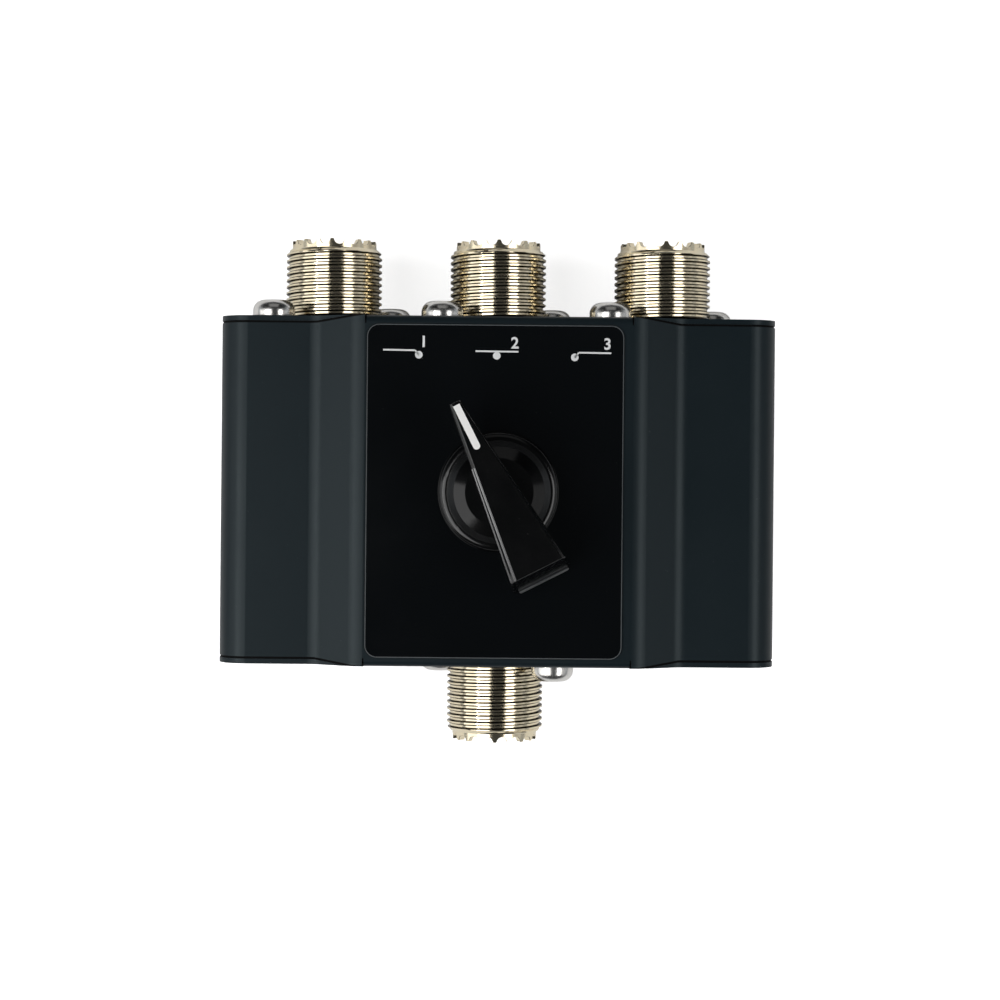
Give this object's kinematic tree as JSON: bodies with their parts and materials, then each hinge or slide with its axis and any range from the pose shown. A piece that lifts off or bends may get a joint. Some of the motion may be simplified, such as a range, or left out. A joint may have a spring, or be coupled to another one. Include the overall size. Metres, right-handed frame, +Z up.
{
  "type": "coaxial antenna switch",
  "caption": "Black steel box with threaded coaxial jacks on both end walls and a pointer knob on a raised panel that connects the radio jack to one antenna jack at a time.",
  "frame": {"origin": "centre of the underside, in the plane it stands on", "axes": "+X to the right across the panel, +Y towards the antenna jacks, +Z up through the panel along the knob's axis"},
  "size_m": [0.0922, 0.082, 0.049],
  "materials": {
    "black_paint": "satin black stoved paint on steel sheet",
    "black_zinc": "black zinc",
    "label_film": "glossy printed film",
    "jack_nickel": "bright nickel plate on turned brass",
    "jack_insulator": "white fluoropolymer",
    "contact_brass": "bright contact brass",
    "nickel_screw": "bright nickel plate",
    "steel_plain": "bright zinc plate",
    "zinc_casting": "die cast, as cast",
    "index_nylon": "natural nylon",
    "laminate": "brown paper laminate",
    "rotor_plastic": "moulded",
    "tinned_copper": "tinned",
    "knob_plastic": "glossy black moulding",
    "pointer_white": "white paint filling"
  },
  "bodies": {
    "case": {"antenna_1_jack_contact": "contact_brass", "antenna_1_jack_insulator": "jack_insulator", "antenna_1_jack_shell": "jack_nickel", "antenna_1_lead": "tinned_copper", "antenna_2_jack_contact": "contact_brass", "antenna_2_jack_insulator": "jack_insulator", "antenna_2_jack_shell": "jack_nickel", "antenna_2_lead": "tinned_copper", "antenna_3_jack_contact": "contact_brass", "antenna_3_jack_insulator": "jack_insulator", "antenna_3_jack_shell": "jack_nickel", "antenna_3_lead": "tinned_copper", "detent_spring": "steel_plain", "fixed_contacts": "contact_brass", "housing": "black_paint", "jack_nuts": "nickel_screw", "jack_screws": "nickel_screw", "panel_label": "label_film", "radio_jack_contact": "contact_brass", "radio_jack_insulator": "jack_insulator", "radio_jack_shell": "jack_nickel", "radio_lead": "tinned_copper", "switch_bush_nut": "nickel_screw", "switch_frame": "zinc_casting", "switch_lock_washer": "steel_plain", "switch_wafer": "laminate", "tray": "black_paint", "tray_screws": "black_zinc", "wafer_spacers": "steel_plain", "wafer_tie_screws": "steel_plain"},
    "selector": {"knob": "knob_plastic", "knob_insert": "contact_brass", "knob_grub_screw": "steel_plain", "knob_pointer_line": "pointer_white", "switch_shaft": "steel_plain", "shaft_retaining_clip": "steel_plain", "index_wheel": "index_nylon", "switch_rotor": "rotor_plastic", "rotor_wiper": "contact_brass"}
  },
  "joints": [
    {"name": "knob_turn", "type": "hinge", "parent": "case", "child": "selector", "pos_m": [0, 0, 0.0395], "axis": [0, 0, 1], "range_deg": [-60, 0], "deforming": ["detent_spring"]}
  ]
}
